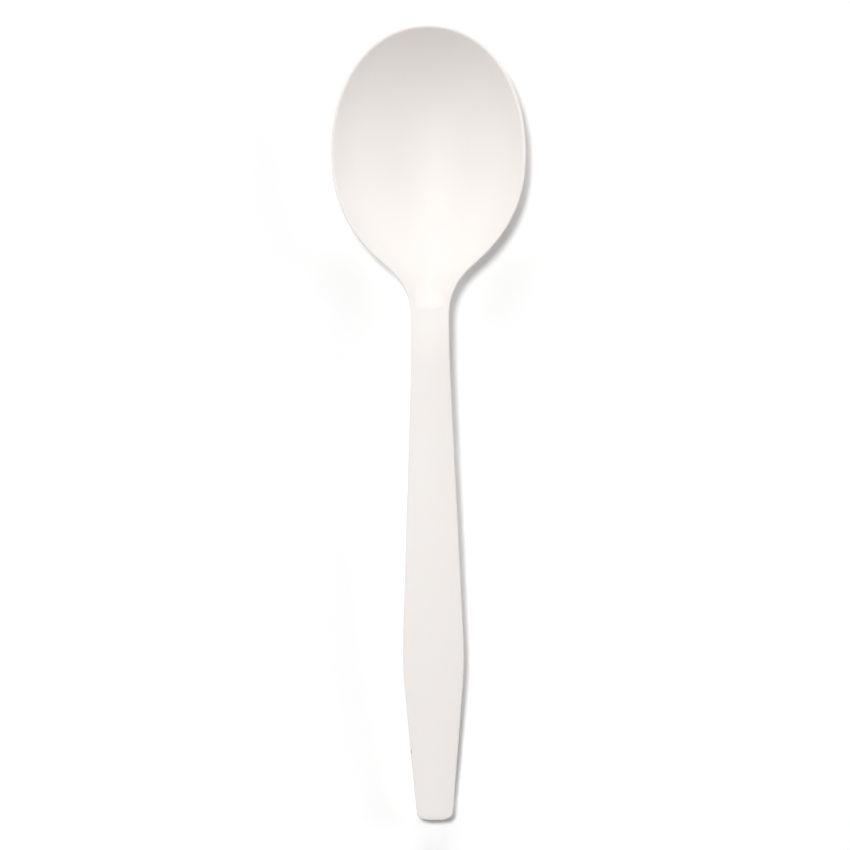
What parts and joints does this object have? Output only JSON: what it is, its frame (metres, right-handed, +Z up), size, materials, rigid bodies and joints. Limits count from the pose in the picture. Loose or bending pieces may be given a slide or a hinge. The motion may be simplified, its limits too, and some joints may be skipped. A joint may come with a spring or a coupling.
{
  "type": "soup spoon",
  "caption": "Disposable moulded plastic soup spoon: an oval bowl with a narrow lip, a slim neck and a gently bent handle that is open below between side walls.",
  "frame": {"origin": "on the table, below the middle of the spoon's length, as the spoon lies at rest with its hollow side up", "axes": "+Y from the handle's end towards the bowl's tip, +Z up out of the hollow, +X across the spoon"},
  "size_m": [0.0356, 0.145, 0.0095],
  "materials": {
    "plastic": "warm white polypropylene with a soft satin sheen"
  },
  "bodies": {
    "root": {"bowl": "plastic", "neck": "plastic", "handle": "plastic"}
  },
  "joints": []
}
